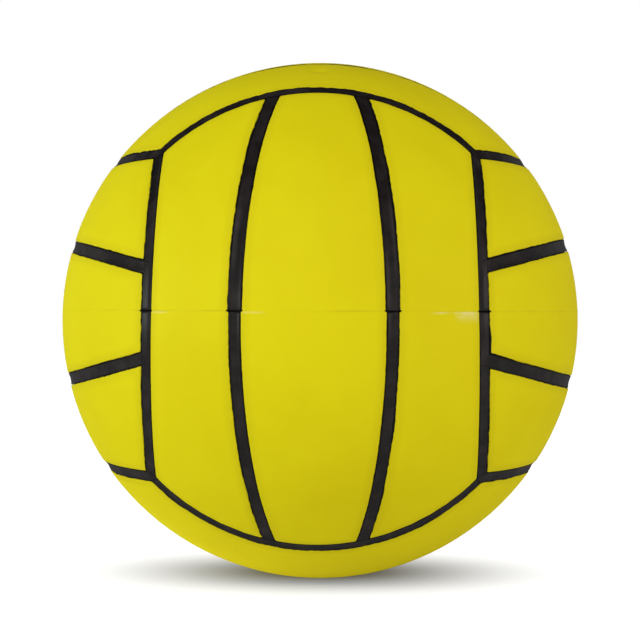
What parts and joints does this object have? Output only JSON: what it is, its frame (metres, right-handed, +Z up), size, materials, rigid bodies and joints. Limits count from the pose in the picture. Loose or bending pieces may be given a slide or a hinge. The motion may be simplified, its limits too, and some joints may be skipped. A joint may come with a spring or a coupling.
{
  "type": "volleyball",
  "caption": "Inflated moulded rubber volleyball with strip panels in groups of three, black sunken seams and a needle valve.",
  "frame": {"origin": "centre of the ball", "axes": "+Z up through the valve in the middle of the top face, -Y towards the front face that the picture shows, +X to the right of that view"},
  "size_m": [0.21, 0.21, 0.2099],
  "materials": {
    "cover_rubber": "satin moulded yellow rubber",
    "carcass_rubber": "satin black rubber",
    "nylon_thread": "matte wound thread set in latex",
    "butyl_rubber": "matte black butyl rubber",
    "valve_rubber": "matte black moulded rubber"
  },
  "bodies": {
    "root": {"top_front_panel": "cover_rubber", "top_middle_panel": "cover_rubber", "top_rear_panel": "cover_rubber", "bottom_rear_panel": "cover_rubber", "bottom_middle_panel": "cover_rubber", "bottom_front_panel": "cover_rubber", "right_lower_panel": "cover_rubber", "right_middle_panel": "cover_rubber", "right_upper_panel": "cover_rubber", "left_lower_panel": "cover_rubber", "left_middle_panel": "cover_rubber", "left_upper_panel": "cover_rubber", "back_left_panel": "cover_rubber", "back_middle_panel": "cover_rubber", "back_right_panel": "cover_rubber", "front_right_panel": "cover_rubber", "front_middle_panel": "cover_rubber", "front_left_panel": "cover_rubber", "carcass": "carcass_rubber", "winding": "nylon_thread", "bladder": "butyl_rubber", "valve_housing": "valve_rubber", "valve_core": "valve_rubber"}
  },
  "joints": []
}
